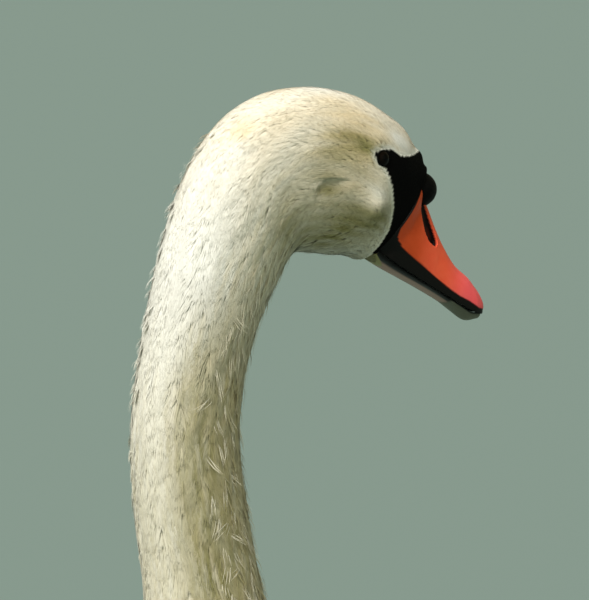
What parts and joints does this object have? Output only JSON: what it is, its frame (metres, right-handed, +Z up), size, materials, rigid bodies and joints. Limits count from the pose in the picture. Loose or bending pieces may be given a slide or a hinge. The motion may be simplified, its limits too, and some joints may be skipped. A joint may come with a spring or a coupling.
{
  "type": "mute swan",
  "caption": "Life-size still model of a white mute swan resting on its belly, neck upright, head bent down, orange bill with black knob.",
  "frame": {"origin": "middle of the flat that the belly rests on, at floor level", "axes": "+X from tail to bill, +Y to the bird's left, +Z up"},
  "size_m": [0.8757, 0.3378, 0.7786],
  "materials": {
    "plumage": "soft matt feathers, buff stain on the crown",
    "bill_horn": "satin orange horn, pink towards the tip, black edge",
    "knob_skin": "fleshy black skin, faint sheen",
    "eye": "wet dark brown",
    "leg_skin": "scaled dark grey skin"
  },
  "bodies": {
    "root": {"trunk": "plumage", "tail": "plumage", "neck_lower": "plumage", "neck_middle": "plumage", "neck_upper": "plumage", "head": "plumage", "wing_left": "plumage", "wing_right": "plumage", "primaries_left": "plumage", "primaries_right": "plumage", "bill_upper": "bill_horn", "bill_lower": "bill_horn", "bill_knob": "knob_skin", "eye_left": "eye", "eye_right": "eye", "leg_left": "leg_skin", "leg_right": "leg_skin", "foot_left": "leg_skin", "foot_right": "leg_skin"}
  },
  "joints": []
}
